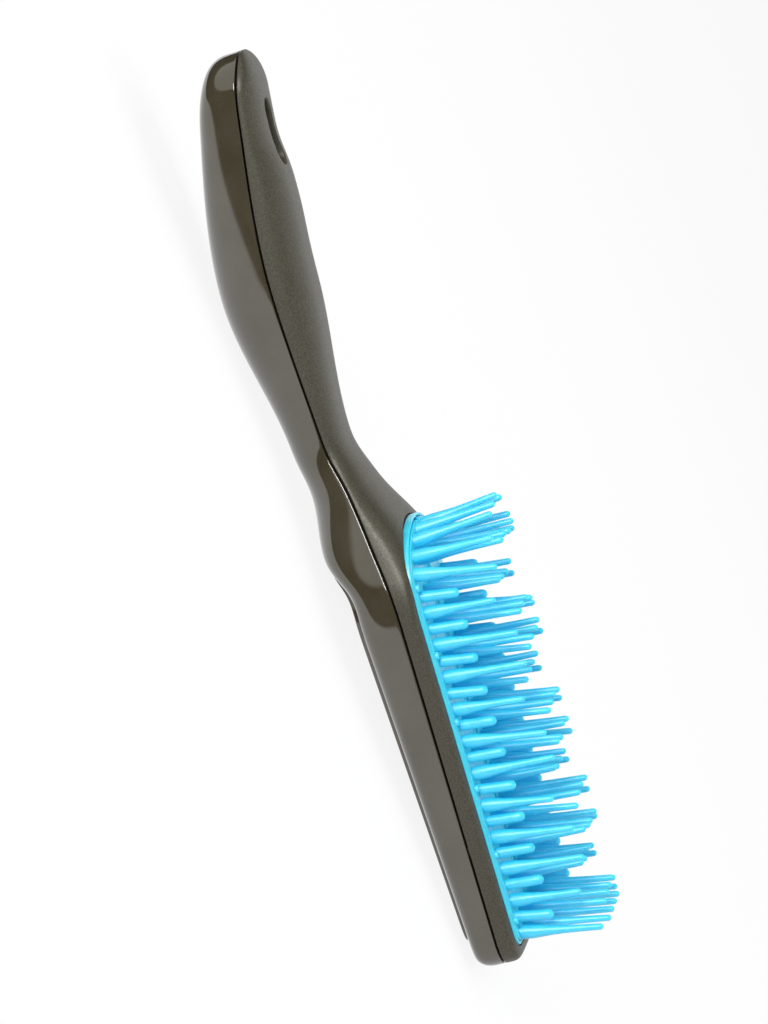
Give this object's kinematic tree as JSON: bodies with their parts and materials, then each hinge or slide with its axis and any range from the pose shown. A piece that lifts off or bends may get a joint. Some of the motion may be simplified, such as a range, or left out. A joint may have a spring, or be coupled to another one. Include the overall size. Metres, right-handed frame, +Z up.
{
  "type": "vent brush",
  "caption": "Two-shell hair brush with a contoured handle, a hang hole, a vented back panel and a soft pad of tapered pins.",
  "frame": {"origin": "bottom centre of the bounding box, with the brush lying on its back", "axes": "+X along the brush from the tip to the handle end, +Y to the right of the hand that holds it, +Z up, the way the pins point"},
  "size_m": [0.2292, 0.05, 0.0446],
  "materials": {
    "front_shell": "satin, fine metallic speckle",
    "back_shell": "high gloss, dark olive-grey",
    "back_panel": "high gloss, dark olive-grey",
    "pad": "soft, satin light blue",
    "pins": "soft, satin light blue",
    "grid": "plain dark grey",
    "screws": "zinc plated"
  },
  "bodies": {
    "root": {"front_shell": "front_shell", "back_shell": "back_shell", "back_vent_panel": "back_panel", "bristle_pad": "pad", "bristle_bed_right": "pins", "bristle_bed_left": "pins", "pad_support_grid": "grid", "shell_screw_1": "screws", "shell_screw_2": "screws", "shell_screw_3": "screws", "shell_screw_4": "screws"}
  },
  "joints": []
}
